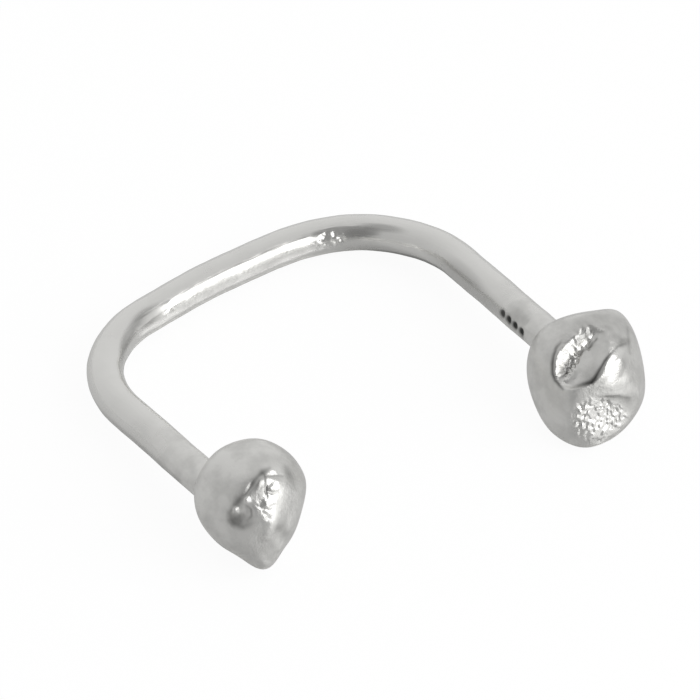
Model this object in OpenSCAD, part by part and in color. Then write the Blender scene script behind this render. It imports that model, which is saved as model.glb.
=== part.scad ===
// Open silver ring: a round wire bent into a squarish U, with a melted nugget on the end of each leg.
// The ring lies on its side, as it rests by itself: on the back of the band and on both nuggets.
// Millimetres and degrees. +X runs along the back, -Y towards the nuggets, +Z up.
// The origin is under the middle of the whole ring, on the surface that it lies on.

/* [Band] */
// Thickness of the round wire
wire_d = 1.8; // [1.4:0.1:2.2]
// Radius of the gently bowed back, to the middle of the wire
back_r = 33.5; // [25:0.5:50]
// How far the back turns on the left of its outermost point, in degrees
back_left_a = 9.5; // [6:0.5:12]
// How far the back turns on the right of its outermost point, in degrees
back_right_a = 6; // [4:0.5:10]
// Radius of the left bend, to the middle of the wire
bend_left_r = 5.4; // [4:0.1:7]
// Radius of the right bend, to the middle of the wire
bend_right_r = 6.5; // [4:0.1:7]
// Straight run of the left leg, from its bend to where its nugget starts
leg_left = 6.4; // [4:0.1:10]
// Straight run of the right leg, from its bend to where its nugget starts
leg_right = 6.6; // [4:0.1:10]
// How far the right leg leans inwards, in degrees
toe_in = 1.5; // [0:0.5:4]
// How far the band slopes up from its back to its nuggets as it rests, in degrees
slope = 5.5; // [4:0.5:7]

/* [Nuggets] */
// From the end of the left leg to the middle of its nugget
left_reach = 3.7; // [3.4:0.1:4.2]
// How far the middle of the left nugget lies inside the line of its leg
left_inset = 0.4; // [0:0.1:0.5]
// From the end of the right leg to the middle of its nugget
right_reach = 4.2; // [3.6:0.1:4.6]
// Size of the nuggets against the real ones
nugget_size = 1; // [0.9:0.05:1.1]
// Crispness of the edges where two faces of a nugget meet
edge_crispness = 12; // [8:1:24]
// Crispness of the rims of the hollows pressed into the nuggets
rim_crispness = 20; // [12:2:40]

/* [Hidden] */
silver = [0.80, 0.80, 0.79];
wire_r = wire_d / 2;

// Points round the wire and round each nugget
around_count = 54;
// How far those points crowd towards the side with the hollows, in degrees
crowding = 20;
// Rows of points from a nugget's tip to its shoulder, and on over its neck to the leg
shoulder_rows = 32;
neck_rows = 6;
// How far round from the tip the shoulder is, in degrees, and how far from the middle
shoulder = 145;
shoulder_r = 2.7;
// Rows of points along the back and along each bend
back_rows = 6;
bend_rows = 12;
// Tightness of the small fillet between a nugget and its leg
neck_crispness = 24;
// Crispness of the line where two flats on the floor of a hollow meet
valley_crispness = 60;
// Farther than any hollow lies
miss = 1000;

// The nugget tables are written as seen by someone who stands off the left front of the ring
// and looks down on it. turn goes anticlockwise from the right in that view, and tilt is
// the angle away from the middle of it, so 90 lies on the outline and more is behind it.
look_turn = 35.3;
look_down = 42.8;
toward = [-sin(look_turn) * cos(look_down), -cos(look_turn) * cos(look_down), sin(look_down)];
rightward = [cos(look_turn), -sin(look_turn), 0];
upward = cross(toward, rightward);

// Flat-melted faces of the left nugget: [turn, tilt, distance from the middle]
left_faces = [
    [115, 90, 3.10], [86, 90, 3.37], [58, 90, 3.22], [28, 90, 3.06], [-18, 90, 2.50],
    [-52, 90, 2.66], [-108, 90, 2.43], [-140, 90, 2.39], [-172, 90, 2.62], [150, 90, 2.85],
    [-12, 60, 2.33], [100, 45, 2.82], [-140, 35, 2.52], [-78, 38, 2.42], [40, 55, 2.80],
    [165, 42, 2.66], [-48, 60, 2.36], [-100, 6, 2.75], [2, 29, 2.66], [-90, 133, 2.77],
    [90, 135, 2.70], [0, 130, 2.50], [180, 130, 2.50], [0, 175, 2.50]
];
// Flat-melted faces of the right nugget: [turn, tilt, distance from the middle]
right_faces = [
    [112, 90, 3.20], [90, 90, 3.32], [65, 90, 3.54], [23, 90, 2.96], [3, 90, 2.88],
    [-33, 90, 2.98], [-62, 90, 3.46], [-97, 90, 4.20], [-126, 90, 3.40], [-156, 90, 2.96],
    [178, 90, 3.12], [150, 90, 3.30], [8, 58, 2.52], [14, 33, 2.80], [107, 25, 2.78],
    [-68, 45, 3.10], [-165, 45, 2.82], [55, 50, 2.98], [-120, 50, 3.20], [-60, 8, 2.92],
    [-52, 32, 2.50], [-36, 50, 2.56], [-90, 133, 2.27], [90, 135, 2.80], [0, 130, 2.70],
    [180, 130, 2.75], [0, 175, 2.60]
];
// Hollows pressed in by a blunt egg-shaped tool. Across, rise and depth place the tool's end to
// the right, up and towards the one who looks, and turn and tilt give the way the hollow faces:
// [across, rise, depth, turn, tilt, half length, half width, half depth, slant]
left_hollows = [];
right_hollows = [
    [-0.31, 1.12, 1.50, -20, 10, 2.12, 1.15, 1.40, 43],
    [0.62, -2.08, 1.42, -34, 36, 2.40, 1.45, 1.00, -4]
];
// Flats on the floor of a hollow: [which hollow, turn, tilt, distance from the middle]
left_floors = [];
right_floors = [
    [0, 132.5, 28, 2.18], [0, -8, 36, 0.90], [0, -35, 33, 0.89]
];
// Soft swellings of the outline: [turn, tilt, height, width]
left_swellings = [
    [-76, 88, 0.47, 0.86]
];
right_swellings = [
    [68, 86, 0.20, 0.70]
];
// Mounds and pits on the side with the hollows, a pit with a height below 0:
// [across, rise, half length, half width, slant, height]
left_mounds = [
    [0.46, 0.98, 0.70, 0.26, 80, 0.15], [-0.38, -0.42, 0.48, 0.42, 30, -0.20]
];
right_mounds = [
    [0.66, 0.68, 0.50, 0.36, 70, 0.11], [1.40, 0.72, 0.42, 0.36, 90, 0.14]
];
// From where on that side the mounds and pits begin to show, and where they show in full,
// as the part of a direction that points towards the one who looks
mounds_from = 0.05;
mounds_full = 0.30;

// Direction given by a turn and a tilt
function aim(turn, tilt) =
    cos(tilt) * toward + sin(tilt) * (cos(turn) * rightward + sin(turn) * upward);

function unit(v) = v / norm(v);

function total(list) = len(list) == 0 ? 0 : list * [for (entry = list) 1];

// Distance to the faces along a direction: the nearest face wins, and the edges are rounded
function faces_distance(dir, faces) =
    pow(total([for (face = faces)
        pow(max(0, dir * aim(face[0], face[1])) / face[2], edge_crispness)]), -1 / edge_crispness);

// Distance along a direction to the near side of the egg that presses one hollow
function hollow_distance(dir, hollow) =
    let (
        deep = aim(hollow[3], hollow[4]),
        level = cos(hollow[8]) * rightward + sin(hollow[8]) * upward,
        along = unit(level - (level * deep) * deep),
        across = cross(deep, along),
        middle = hollow[0] * rightward + hollow[1] * upward + hollow[2] * toward + hollow[7] * deep,
        ray = [dir * along / hollow[5], dir * across / hollow[6], dir * deep / hollow[7]],
        far = [middle * along / hollow[5], middle * across / hollow[6], middle * deep / hollow[7]],
        a = ray * ray,
        b = ray * far,
        rest = b * b - a * (far * far - 1)
    )
    b > 0 && rest > 0 ? (b - sqrt(rest)) / a : miss;

// Distance along a direction to the farthest of the flats on one hollow's floor
function floor_distance(dir, floors, number) =
    pow(total([for (plane = floors) plane[0] == number
        ? pow(plane[3] / max(0.01, dir * aim(plane[1], plane[2])), valley_crispness) : 0]),
        1 / valley_crispness);

// Height that one soft swelling adds along a direction
function swelling_height(dir, swelling, faced) =
    swelling[2] * exp(-pow(norm(dir - aim(swelling[0], swelling[1])) * faced / swelling[3], 2));

// Height that one mound adds along a direction, or that one pit takes away
function mound_height(dir, mound, far) =
    let (
        x = far * (dir * rightward) - mound[0],
        y = far * (dir * upward) - mound[1],
        u = (x * cos(mound[4]) + y * sin(mound[4])) / mound[2],
        v = (y * cos(mound[4]) - x * sin(mound[4])) / mound[3],
        t = max(0, min(1, (dir * toward - mounds_from) / (mounds_full - mounds_from)))
    )
    mound[5] * exp(-u * u - v * v) * t * t * (3 - 2 * t);

// Distance from a nugget's middle to its surface along a direction.
// A nugget is its [faces, hollows, floors, swellings, mounds].
function nugget_distance(dir, nugget) =
    let (
        faced = faces_distance(dir, nugget[0]),
        swollen = faced + total([for (swelling = nugget[3]) swelling_height(dir, swelling, faced)]),
        pressed = [for (number = [0 : 1 : len(nugget[1]) - 1])
            max(hollow_distance(dir, nugget[1][number]), floor_distance(dir, nugget[2], number))],
        form = pow(pow(swollen, -rim_crispness) + total([for (cut = pressed) pow(cut, -rim_crispness)]),
            -1 / rim_crispness)
    )
    nugget_size * (form + total([for (mound = nugget[4]) mound_height(dir, mound, form)]));

left_nugget = [left_faces, left_hollows, left_floors, left_swellings, left_mounds];
right_nugget = [right_faces, right_hollows, right_floors, right_swellings, right_mounds];

// The way along the band at a heading, and the way outwards from the finger hollow there
function way(heading) = [cos(heading), sin(heading)];
function outwards(heading) = [-sin(heading), cos(heading)];

// The band in its own plane, from the outermost point of the back
leg_left_heading = 90;
leg_right_heading = -90 - toe_in;
bend_left_middle = back_r * (outwards(back_left_a) - [0, 1]) - bend_left_r * outwards(back_left_a);
bend_right_middle = back_r * (outwards(-back_right_a) - [0, 1]) - bend_right_r * outwards(-back_right_a);
leg_left_end = bend_left_middle + bend_left_r * outwards(leg_left_heading)
    - leg_left * way(leg_left_heading);
leg_right_end = bend_right_middle + bend_right_r * outwards(leg_right_heading)
    + leg_right * way(leg_right_heading);

// Middles of the wire between the two legs' ends: [point, heading]
band_path = concat(
    [for (step = [0 : bend_rows])
        let (heading = leg_left_heading + (back_left_a - leg_left_heading) * step / bend_rows)
        [bend_left_middle + bend_left_r * outwards(heading), heading]],
    [for (step = [1 : back_rows])
        let (heading = back_left_a - (back_left_a + back_right_a) * step / back_rows)
        [back_r * (outwards(heading) - [0, 1]), heading]],
    [for (step = [1 : bend_rows])
        let (heading = (leg_right_heading + back_right_a) * step / bend_rows - back_right_a)
        [bend_right_middle + bend_right_r * outwards(heading), heading]]
);

// A direction and a point of the band's plane, sloped up from the back as the ring lies
function slant(v) = [v[0], v[1] * cos(slope), -v[1] * sin(slope)];
function lie(p) = slant(p) + [0, 0, wire_r];
plane_up = [0, sin(slope), cos(slope)];

// Spokes round the wire, from outwards over the top of the band, closer together on the side
// with the hollows
function spokes(heading) =
    let (
        out = slant(outwards(heading)),
        near = atan2(plane_up * toward, out * toward)
    )
    [for (step = [0 : around_count - 1])
        let (
            turn = 360 * step / around_count,
            spin = turn - crowding * sin(turn - near)
        )
        cos(spin) * out + sin(spin) * plane_up];

// Directions from a nugget's middle, in rows from its tip to its shoulder
function shoulder_dirs(heading, to_leg) =
    [for (row = [1 : shoulder_rows])
        let (fall = shoulder * row / shoulder_rows)
        [for (spoke = spokes(heading)) sin(fall) * spoke - cos(fall) * to_leg]];

// Directions from a nugget's middle, in rows from its shoulder to the end of its leg
function neck_dirs(heading, to_leg, leg_end) =
    [for (row = [1 : neck_rows])
        let (share = row / neck_rows)
        [for (spoke = spokes(heading))
            unit((1 - share) * shoulder_r * (sin(shoulder) * spoke - cos(shoulder) * to_leg)
                + share * (leg_end + wire_r * spoke))]];

// Distance along a direction from a nugget's middle to the skin of its leg, or nothing on the far side
function leg_distance(dir, to_leg, leg_end) =
    let (
        off = dir - (dir * to_leg) * to_leg,
        aside = (leg_end * to_leg) * to_leg - leg_end,
        a = off * off,
        b = aside * off,
        c = aside * aside - wire_r * wire_r
    )
    dir * to_leg > 0.2 ? (sqrt(b * b - a * c) - b) / a : 0;

// A nugget's point along a direction, with a small fillet where the nugget meets its leg
function skin_point(dir, nugget, to_leg, leg_end) =
    dir * pow(pow(nugget_distance(dir, nugget), neck_crispness)
        + pow(leg_distance(dir, to_leg, leg_end), neck_crispness), 1 / neck_crispness);

function flat(rows) = [for (row = rows) for (entry = row) entry];
function lowest(points, axis) = min([for (p = points) p[axis]]);
function highest(points, axis) = max([for (p = points) p[axis]]);

// Height of a nugget's middle when it just touches the surface below
function rest_height(nugget, heading, to_leg) =
    -lowest([for (dir = flat(shoulder_dirs(heading, to_leg))) dir * nugget_distance(dir, nugget)], 2);

left_to_leg = slant(way(leg_left_heading));
right_to_leg = slant(-way(leg_right_heading));
left_spot = lie(leg_left_end) - left_reach * left_to_leg + [left_inset, 0, 0];
right_spot = lie(leg_right_end) - right_reach * right_to_leg;
left_middle = [left_spot[0], left_spot[1], rest_height(left_nugget, leg_left_heading, left_to_leg)];
right_middle = [right_spot[0], right_spot[1], rest_height(right_nugget, leg_right_heading, right_to_leg)];

// Rows of points on a nugget and its neck, from its tip to the end of its leg
function nugget_rows(nugget, middle, heading, to_leg, leg_point) =
    [for (row = concat(shoulder_dirs(heading, to_leg), neck_dirs(heading, to_leg, leg_point - middle)))
        [for (dir = row) middle + skin_point(dir, nugget, to_leg, leg_point - middle)]];

left_rows = nugget_rows(left_nugget, left_middle, leg_left_heading, left_to_leg, lie(leg_left_end));
right_rows = nugget_rows(right_nugget, right_middle, leg_right_heading, right_to_leg, lie(leg_right_end));
band_rows = [for (place = band_path)
    [for (spoke = spokes(place[1])) lie(place[0]) + wire_r * spoke]];
all_rows = concat(left_rows, band_rows, [for (row = [len(right_rows) - 1 : -1 : 0]) right_rows[row]]);
left_tip = left_middle - left_to_leg * nugget_distance(-left_to_leg, left_nugget);
right_tip = right_middle - right_to_leg * nugget_distance(-right_to_leg, right_nugget);
skin_points = concat([left_tip], flat(all_rows), [right_tip]);

// Triangles of the skin, which closes at the tips of the two nuggets
row_total = len(all_rows);
last_point = 1 + row_total * around_count;
skin_triangles = concat(
    [for (step = [0 : around_count - 1]) [0, 1 + step, 1 + (step + 1) % around_count]],
    [for (row = [0 : row_total - 2], step = [0 : around_count - 1], half = [0, 1])
        let (
            a = 1 + row * around_count + step,
            b = 1 + row * around_count + (step + 1) % around_count,
            c = a + around_count,
            d = b + around_count
        )
        half == 0 ? [a, d, b] : [a, c, d]],
    [for (step = [0 : around_count - 1])
        [last_point, last_point - around_count + (step + 1) % around_count,
            last_point - around_count + step]]
);

// Middle of the whole ring seen from above
ring_middle = [
    (lowest(skin_points, 0) + highest(skin_points, 0)) / 2,
    (lowest(skin_points, 1) + highest(skin_points, 1)) / 2,
    0
];

// The whole ring is one piece of silver: the wire, with the two nuggets melted onto its ends
module ring() {
    color(silver)
        translate(-ring_middle)
            polyhedron(points = skin_points, faces = skin_triangles, convexity = 6);
}

ring();
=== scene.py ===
# %% [markdown]
# # An open silver ring with two melted nuggets
# The real ring is one piece of silver: a round wire bent into a squarish U, with a lump of melted
# silver on the end of each leg. It lies on its side, on the back of the band and on both nuggets.
# This lesson works out its skin as one surface with numpy, gives it a satin silver finish with
# tarnish and painted shade in the folds and spots, and lights it as a small studio table does.

import bpy
import numpy as np
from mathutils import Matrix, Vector


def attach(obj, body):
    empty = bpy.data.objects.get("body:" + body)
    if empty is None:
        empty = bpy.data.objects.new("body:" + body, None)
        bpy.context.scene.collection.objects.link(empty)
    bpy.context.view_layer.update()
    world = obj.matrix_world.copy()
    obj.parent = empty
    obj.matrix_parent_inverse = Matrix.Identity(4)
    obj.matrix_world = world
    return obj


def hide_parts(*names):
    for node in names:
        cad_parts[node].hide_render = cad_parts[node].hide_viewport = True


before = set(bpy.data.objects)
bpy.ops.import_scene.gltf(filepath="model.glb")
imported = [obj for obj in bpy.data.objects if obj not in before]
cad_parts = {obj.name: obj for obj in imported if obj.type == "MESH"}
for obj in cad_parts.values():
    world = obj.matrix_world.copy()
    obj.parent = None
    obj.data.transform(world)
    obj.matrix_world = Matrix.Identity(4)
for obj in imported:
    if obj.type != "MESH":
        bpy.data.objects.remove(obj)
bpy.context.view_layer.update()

MM = 0.001

# %% [markdown]
# The camera comes first, because the nuggets are described as someone sees them from there: off the
# left front of the ring, looking down on it. It stands well back with a long lens, as a camera does
# for jewellery, so that both ends of the ring keep nearly the same scale. All sizes are written in
# millimetres, and they become metres in the camera's place and in the mesh.

# %% Place the camera
LOOK_TURN = np.radians(35.3)
LOOK_DOWN = np.radians(42.8)
LOOK_AT = np.array([1.688, 1.514, 0.9])
CAMERA_AWAY = 380.0
PIXELS_PER_MM = 20.55
PHOTO_SIDE = 700
SENSOR = 36.0

TOWARD = np.array([
    -np.sin(LOOK_TURN) * np.cos(LOOK_DOWN),
    -np.cos(LOOK_TURN) * np.cos(LOOK_DOWN),
    np.sin(LOOK_DOWN),
])
RIGHTWARD = np.array([np.cos(LOOK_TURN), -np.sin(LOOK_TURN), 0.0])
UPWARD = np.cross(TOWARD, RIGHTWARD)
LOOK = np.stack([RIGHTWARD, UPWARD, TOWARD])

camera_data = bpy.data.cameras.new("camera")
camera_data.sensor_width = SENSOR
camera_data.lens = SENSOR * CAMERA_AWAY * PIXELS_PER_MM / PHOTO_SIDE
camera_data.clip_start = 0.01
camera_data.clip_end = 10.0
camera = bpy.data.objects.new("camera", camera_data)
camera.location = Vector((LOOK_AT + CAMERA_AWAY * TOWARD) * MM)
camera.rotation_mode = "QUATERNION"
camera.rotation_quaternion = (-Vector(TOWARD)).to_track_quat("-Z", "Y")
bpy.context.scene.collection.objects.link(camera)
bpy.context.scene.camera = camera
print("lens:", round(camera_data.lens, 1), "mm")

# %% [markdown]
# The band is a round wire. It could be a curve with a bevel, but the nuggets have to flow out of it
# without a seam, so it is a grid instead: one row of points round the wire at each step along it.
# The wire is drawn in its own plane as arcs and straight runs that meet smoothly, and that plane
# slopes up from the back, because the nuggets that it rests on are thicker than the wire.

# %% Name the sizes of the band
# Radii and lengths of the wire's middle line. The back turns by its two angles on either side of its
# top, and each reach is from the end of a leg to the middle of its nugget.
WIRE_R = 0.9
BACK_R = 33.5
BACK_LEFT = np.radians(9.5)
BACK_RIGHT = np.radians(6.0)
BEND_LEFT_R = 5.4
BEND_RIGHT_R = 6.5
LEG_LEFT = 6.4
LEG_RIGHT = 6.6
TOE_IN = np.radians(1.5)
SLOPE = np.radians(5.5)
LEFT_REACH = 3.7
LEFT_INSET = 0.4
RIGHT_REACH = 4.2
print("wire:", 2 * WIRE_R, "mm thick, straight legs:", LEG_LEFT, "and", LEG_RIGHT, "mm")

# %% Name the surface's grid
# The spokes crowd together on the side that faces the camera, where the small folds are, and the
# rows crowd together where the wire is punched and bruised.
AROUND = 196
CROWDING = 0.35
SHOULDER_ROWS = 122
NECK_ROWS = 22
LEG_LEFT_ROWS = 16
LEG_RIGHT_ROWS = 14
PUNCHED_ROWS = 34
PUNCHED_FROM = 4.3
BEND_LEFT_ROWS = 32
BACK_ROWS = 74
BRUISED_ROWS = 28
BRUISED_TURN = np.radians(28.0)
BEND_RIGHT_ROWS = 22
# From its tip a nugget's rows run over this angle to its shoulder, about this far from its middle
SHOULDER = np.radians(145.0)
SHOULDER_R = 2.7
print("spokes:", AROUND, "rows of a nugget:", SHOULDER_ROWS + NECK_ROWS)

# %% Write the ways of the band
PLANE_UP = np.array([0.0, np.sin(SLOPE), np.cos(SLOPE)])
print("the band's plane faces", PLANE_UP.round(3))


def way(heading):
    """Unit vectors along the band at each heading: (cos, sin)."""
    return np.stack([np.cos(heading), np.sin(heading)], axis=-1)


def outwards(heading):
    """Unit vectors away from the finger hollow: the way along the band, turned left by 90 degrees."""
    return np.stack([-np.sin(heading), np.cos(heading)], axis=-1)


def slant(flat):
    """Vectors of the band's plane as they lie: the plane is turned about X by the slope."""
    across = flat[..., 0]
    back = flat[..., 1]
    return np.stack([across, back * np.cos(SLOPE), -back * np.sin(SLOPE)], axis=-1)


def lie(flat):
    """Points of the band's plane as they lie, with the back's wire touching the surface."""
    return slant(flat) + np.array([0.0, 0.0, WIRE_R])


def spins(heading):
    """Angles round the wire: an even turn less crowding times sin(turn less the camera's side)."""
    out = slant(outwards(np.atleast_1d(heading)))
    facing = np.arctan2(PLANE_UP @ TOWARD, out @ TOWARD)[:, None]
    turn = np.linspace(0, 2 * np.pi, AROUND, endpoint=False)[None, :]
    return turn - CROWDING * np.sin(turn - facing)


def spokes(heading):
    """Spokes round the wire at each heading: cos(spin) outwards plus sin(spin) up from the plane."""
    spin = spins(heading)[..., None]
    out = slant(outwards(np.atleast_1d(heading)))[:, None, :]
    return np.cos(spin) * out + np.sin(spin) * PLANE_UP


# %% Find the ends of the arcs and legs
LEG_LEFT_HEADING = np.pi / 2
LEG_RIGHT_HEADING = -np.pi / 2 - TOE_IN
TOP = np.array([0.0, 1.0])
bend_left_middle = BACK_R * (outwards(BACK_LEFT) - TOP) - BEND_LEFT_R * outwards(BACK_LEFT)
bend_right_middle = BACK_R * (outwards(-BACK_RIGHT) - TOP) - BEND_RIGHT_R * outwards(-BACK_RIGHT)
leg_left_start = bend_left_middle + BEND_LEFT_R * outwards(LEG_LEFT_HEADING)
leg_right_start = bend_right_middle + BEND_RIGHT_R * outwards(LEG_RIGHT_HEADING)
leg_left_end = leg_left_start - LEG_LEFT * way(LEG_LEFT_HEADING)
leg_right_end = leg_right_start + LEG_RIGHT * way(LEG_RIGHT_HEADING)
print("legs end at", leg_left_end.round(2), "and", leg_right_end.round(2))


# %% Carry the wire along the band
def band_path():
    """Middles and headings of the wire from the left leg to the right one, less the legs' own ends.

    A straight run keeps its heading, and an arc's middle is its centre plus its radius outwards."""
    left = np.linspace(0, LEG_LEFT, LEG_LEFT_ROWS, endpoint=False)[1:, None]
    right = np.concatenate([
        np.linspace(0, PUNCHED_FROM, LEG_RIGHT_ROWS, endpoint=False)[1:],
        np.linspace(PUNCHED_FROM, LEG_RIGHT, PUNCHED_ROWS, endpoint=False),
    ])[:, None]
    into_left = np.linspace(LEG_LEFT_HEADING, BACK_LEFT, BEND_LEFT_ROWS, endpoint=False)
    along_back = np.linspace(BACK_LEFT, -BACK_RIGHT, BACK_ROWS, endpoint=False)
    bruised_end = -BACK_RIGHT - BRUISED_TURN
    into_right = np.concatenate([
        np.linspace(-BACK_RIGHT, bruised_end, BRUISED_ROWS, endpoint=False),
        np.linspace(bruised_end, LEG_RIGHT_HEADING, BEND_RIGHT_ROWS),
    ])
    middles = np.concatenate([
        leg_left_end + left * way(LEG_LEFT_HEADING),
        bend_left_middle + BEND_LEFT_R * outwards(into_left),
        BACK_R * (outwards(along_back) - TOP),
        bend_right_middle + BEND_RIGHT_R * outwards(into_right),
        leg_right_start + right * way(LEG_RIGHT_HEADING),
    ])
    headings = np.concatenate([
        np.full(len(left), LEG_LEFT_HEADING), into_left, along_back, into_right,
        np.full(len(right), LEG_RIGHT_HEADING),
    ])
    return middles, headings


path_middles, path_headings = band_path()
path_steps = np.linalg.norm(np.diff(path_middles, axis=0), axis=1)
path_lengths = np.concatenate([[0.0], np.cumsum(path_steps)])
print("band rows:", len(path_middles), "length:", round(float(path_lengths[-1]), 1), "mm")

# %% [markdown]
# A wire that was drawn, bent round a mandrel and filed by hand is never a perfect cylinder. Its
# surface here rises and falls by about a hundredth of a millimetre, which can't be seen as shape but
# makes the long highlights waver. Four waves of unlike lengths do it, so that nothing repeats. The
# mandrel left a spot of small dents where the back runs into each bend, and near the right nugget
# there is a row of four plain round punch dots.

# %% Write the shapes that all small relief is made of
def ramp(values, start, end):
    """0 below start and 1 above end, with the smooth step 3t^2 - 2t^3 between them."""
    t = np.clip((values - start) / (end - start), 0.0, 1.0)
    return t * t * (3 - 2 * t)


def oval(x, y, row):
    """Squared distance from an oval's middle, in units of its half axes along and across its lean."""
    lean = np.radians(row[4])
    u = ((x - row[0]) * np.cos(lean) + (y - row[1]) * np.sin(lean)) / row[2]
    v = ((y - row[1]) * np.cos(lean) - (x - row[0]) * np.sin(lean)) / row[3]
    return u * u + v * v


# A dent is at least this much as wide as its patch says, with this much more left to chance, and at
# least this much as deep. This share of the dents stands out instead
DENT_LEAST = 0.6
DENT_SPREAD = 0.8
DENT_SHALLOWEST = 0.5
RAISED_SHARE = 0.35


def hammer(x, y, patch, luck):
    """Depth of a patch of small dents: bells of chance place, size, lean and depth inside an oval."""
    count = int(patch[5])
    size, depth = patch[6:8]
    reach = np.sqrt(luck.random(count))
    turn = 2 * np.pi * luck.random(count)
    lean = np.radians(patch[4])
    along = patch[2] * reach * np.cos(turn)
    across = patch[3] * reach * np.sin(turn)
    dents = np.stack([
        patch[0] + along * np.cos(lean) - across * np.sin(lean),
        patch[1] + along * np.sin(lean) + across * np.cos(lean),
        size * (DENT_LEAST + DENT_SPREAD * luck.random(count)) * (1 + luck.random(count)),
        size * (DENT_LEAST + DENT_SPREAD * luck.random(count)),
        180 * luck.random(count),
        depth * (DENT_SHALLOWEST + luck.random(count))
        * np.where(luck.random(count) < RAISED_SHARE, -1, 1),
    ], axis=-1)
    return sum(dent[5] * np.exp(-oval(x, y, dent)) for dent in dents)


# %% Work the wire by hand: long waves, four punch dots and two dented spots
# waves along the path per mm, waves round the wire, phase, height
FILING_WAVES = np.array([
    (0.23, 1, 0.4, 0.010), (0.61, 2, 2.1, 0.004), (1.30, 3, 4.0, 0.0015), (2.10, 5, 1.3, 0.0008),
])
# distance down the right leg, spin in degrees
PUNCH_DOTS = np.array([(4.72, 166), (5.27, 168), (5.81, 170), (6.35, 172)])
PUNCH_R = 0.21
PUNCH_DEEP = 0.09
PUNCH_CRISPNESS = 8
# Where the mandrel bruised the wire: distance along the path, distance round the wire,
# half_length, half_width, lean, count, size, depth
BRUISES = np.array([
    (14.8, 2.40, 0.60, 0.28, 0, 26, 0.07, 0.010), (24.85, 2.44, 0.66, 0.34, 0, 76, 0.085, 0.026),
])
WIRE_SEED = 5


def filed(lengths, spin):
    """Height of the filing: the sum of height * sin(2 pi along * length + turns * spin + phase)."""
    along, turns, phase, height = FILING_WAVES.T
    angle = 2 * np.pi * along * lengths[:, None, None] + turns * spin[..., None] + phase
    return (height * np.sin(angle)).sum(axis=-1)


def punched(lengths, spin):
    """1 inside each punch dot and 0 outside, with a soft edge.

    That is 1 / (1 + off to the power of the crispness), where off is the distance / radius."""
    leg_rows = LEG_RIGHT_ROWS - 1 + PUNCHED_ROWS
    leg_from = path_lengths[-leg_rows - 1]
    down = lengths[:, None, None] - leg_from - PUNCH_DOTS[:, 0]
    turned = (spin[..., None] - np.radians(PUNCH_DOTS[:, 1]) + np.pi) % (2 * np.pi) - np.pi
    off = np.hypot(down, turned * WIRE_R) / PUNCH_R
    return (1 / (1 + off ** PUNCH_CRISPNESS)).max(axis=-1)


band_spins = spins(path_headings)
band_along = np.repeat(path_lengths[:, None], AROUND, axis=1)
band_round = WIRE_R * (band_spins % (2 * np.pi))
band_dots = punched(path_lengths, band_spins)
wire_luck = np.random.default_rng(WIRE_SEED)
bruised = sum(hammer(band_along, band_round, patch, wire_luck) for patch in BRUISES)
band_radius = WIRE_R + filed(path_lengths, band_spins) - PUNCH_DEEP * band_dots - bruised
band_rows = lie(path_middles)[:, None, :] + band_radius[..., None] * spokes(path_headings)
print("radius from", band_radius.min().round(3), "to", band_radius.max().round(3), "mm")

# %% [markdown]
# A nugget is a lump that froze as it melted: a few nearly flat faces with rounded edges, hollows with
# crisp rims, and soft swellings. It is star-shaped, so its skin is a distance from its middle along
# every direction. Sculpting by hand would do too, but a formula keeps every form a named row.

# %% Describe the nuggets' main forms
# Angles and places are the onlooker's: a turn is anticlockwise from the right, a tilt is away from
# the line of sight, and across, rise and depth are to the right, up and towards the onlooker.
EDGE_CRISPNESS = 12
VALLEY_CRISPNESS = 60
NECK_CRISPNESS = 24
# A distance beyond every skin, and the least share of a direction that still counts as facing a flat
MISS = 1000.0
GRAZING = 0.01

# turn, tilt, distance
LEFT_FACES = np.array([
    (115, 90, 3.10), (86, 90, 3.37), (58, 90, 3.22), (28, 90, 3.06), (-18, 90, 2.50),
    (-52, 90, 2.66), (-108, 90, 2.43), (-140, 90, 2.39), (-172, 90, 2.62), (150, 90, 2.85),
    (-12, 60, 2.33), (100, 45, 2.82), (-140, 35, 2.52), (-78, 38, 2.42), (40, 55, 2.80),
    (165, 42, 2.66), (-48, 60, 2.36), (-100, 6, 2.75), (2, 29, 2.66), (-90, 133, 2.77),
    (90, 135, 2.70), (0, 130, 2.50), (180, 130, 2.50), (0, 175, 2.50),
])
RIGHT_FACES = np.array([
    (112, 90, 3.20), (90, 90, 3.32), (65, 90, 3.54), (23, 90, 2.96), (3, 90, 2.88),
    (-33, 90, 2.98), (-62, 90, 3.46), (-97, 90, 4.20), (-126, 90, 3.40), (-156, 90, 2.96),
    (178, 90, 3.12), (150, 90, 3.30), (8, 58, 2.52), (14, 33, 2.80), (107, 25, 2.78),
    (-68, 45, 3.10), (-165, 45, 2.82), (55, 50, 2.98), (-120, 50, 3.20), (-60, 8, 2.92),
    (-52, 32, 2.50), (-36, 50, 2.56),
    (-90, 133, 2.27), (90, 135, 2.80), (0, 130, 2.70), (180, 130, 2.75), (0, 175, 2.60),
])
# An egg presses each hollow: across, rise, depth of its floor, turn and tilt of the way it faces,
# half_length, half_width, half_depth, lean, crispness of the rim
RIGHT_HOLLOWS = np.array([
    (-0.31, 1.12, 1.50, -20, 10, 2.12, 1.15, 1.40, 43, 40),
    (0.62, -2.08, 1.42, -31, 35, 2.40, 1.45, 1.00, -4, 16),
])
# which hollow, then the flat that fills its floor: turn, tilt, distance
RIGHT_FLOORS = np.array([
    (0, 132.5, 28, 2.18), (0, -8, 36, 0.90), (0, -35, 33, 0.89),
])
# turn, tilt, height, width
LEFT_SWELLINGS = np.array([(-76, 88, 0.47, 0.86)])
RIGHT_SWELLINGS = np.array([(68, 86, 0.20, 0.70)])
print("flat faces:", len(LEFT_FACES), "and", len(RIGHT_FACES))


# %% Work out the distance to a nugget's skin
def seen(dirs):
    """Directions as the onlooker sees them: parts to the right, up and towards the onlooker."""
    return dirs @ LOOK.T


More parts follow.
